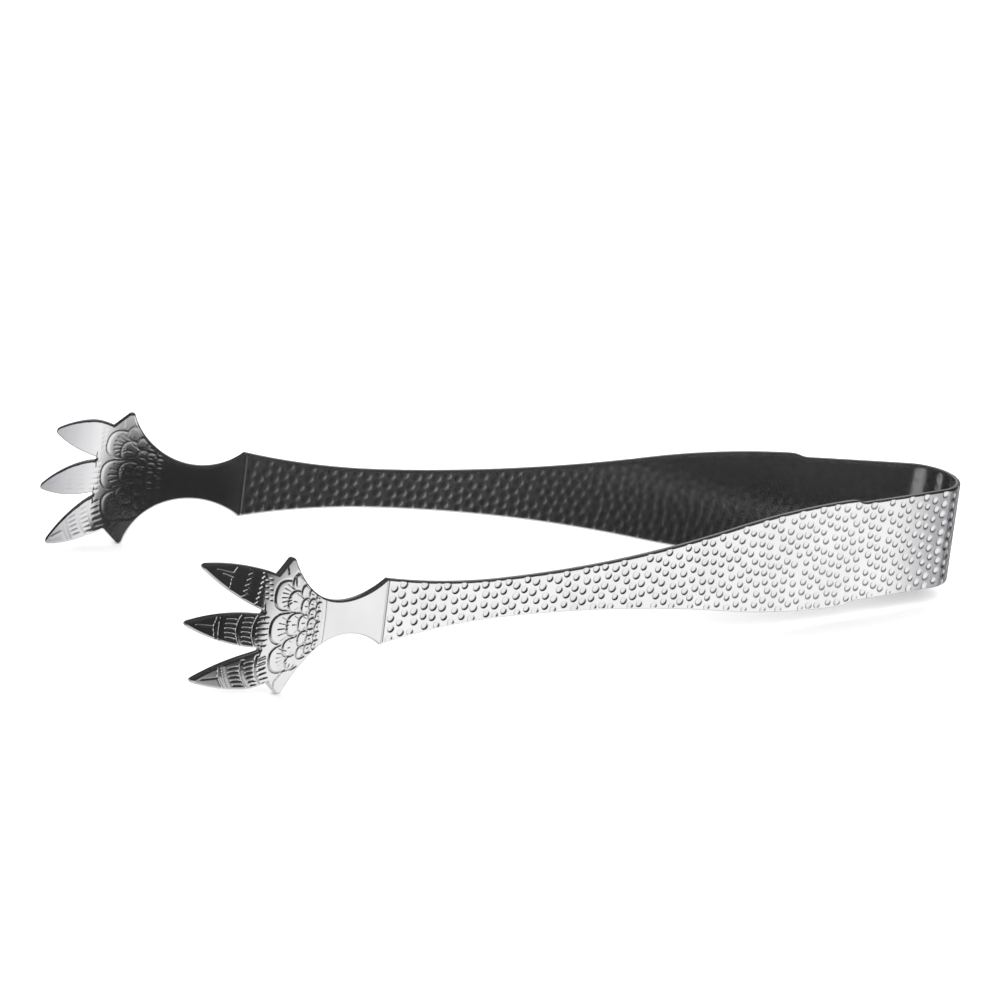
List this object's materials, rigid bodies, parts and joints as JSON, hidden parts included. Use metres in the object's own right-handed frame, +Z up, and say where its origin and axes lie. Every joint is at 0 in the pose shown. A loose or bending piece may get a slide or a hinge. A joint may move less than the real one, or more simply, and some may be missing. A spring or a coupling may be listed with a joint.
{
  "type": "ice tongs",
  "caption": "Spring-steel bar tongs bent from one dimpled strip, with a round bow at one end and cupped, spurred claws with pointed talons at the other.",
  "frame": {"origin": "on the axis of the bow's round bend, at the middle of the strip's width", "axes": "-X from the bow towards the claws, +X out through the bow; +Y towards the rear arm and -Y towards the front arm; +Z up, along the axis of the bow, across the strip's width"},
  "size_m": [0.179, 0.0856, 0.0268],
  "materials": {
    "dimpled_strip": "satin stainless steel with round dimples",
    "pressed_claw": "satin stainless steel with pressed scales and cross lines"
  },
  "bodies": {
    "bow": {"bow": "dimpled_strip"},
    "front_leg": {"front_leg": "dimpled_strip"},
    "rear_leg": {"rear_leg": "dimpled_strip"},
    "front_arm": {"front_arm": "dimpled_strip", "front_claw": "pressed_claw"},
    "rear_arm": {"rear_arm": "dimpled_strip", "rear_claw": "pressed_claw"}
  },
  "joints": [
    {"name": "front_leg_flex", "type": "hinge", "parent": "bow", "child": "front_leg", "pos_m": [0.00207, -0.00773, 0], "axis": [0, 0, -1], "range_deg": [-1, 6.7], "stiffness_Nm_per_rad": 6},
    {"name": "front_arm_flex", "type": "hinge", "parent": "front_leg", "child": "front_arm", "pos_m": [-0.03627, -0.01723, 0], "axis": [0, 0, -1], "range_deg": [-1, 6.7], "stiffness_Nm_per_rad": 6},
    {"name": "rear_leg_flex", "type": "hinge", "parent": "bow", "child": "rear_leg", "pos_m": [0.00207, 0.00773, 0], "axis": [0, 0, 1], "range_deg": [-1, 6.7], "stiffness_Nm_per_rad": 6},
    {"name": "rear_arm_flex", "type": "hinge", "parent": "rear_leg", "child": "rear_arm", "pos_m": [-0.03627, 0.01723, 0], "axis": [0, 0, 1], "range_deg": [-1, 6.7], "stiffness_Nm_per_rad": 6}
  ],
  "couplings": [
    {"joint": "front_arm_flex", "follows": "front_leg_flex", "ratio": 1},
    {"joint": "rear_leg_flex", "follows": "front_leg_flex", "ratio": 1},
    {"joint": "rear_arm_flex", "follows": "front_leg_flex", "ratio": 1}
  ]
}
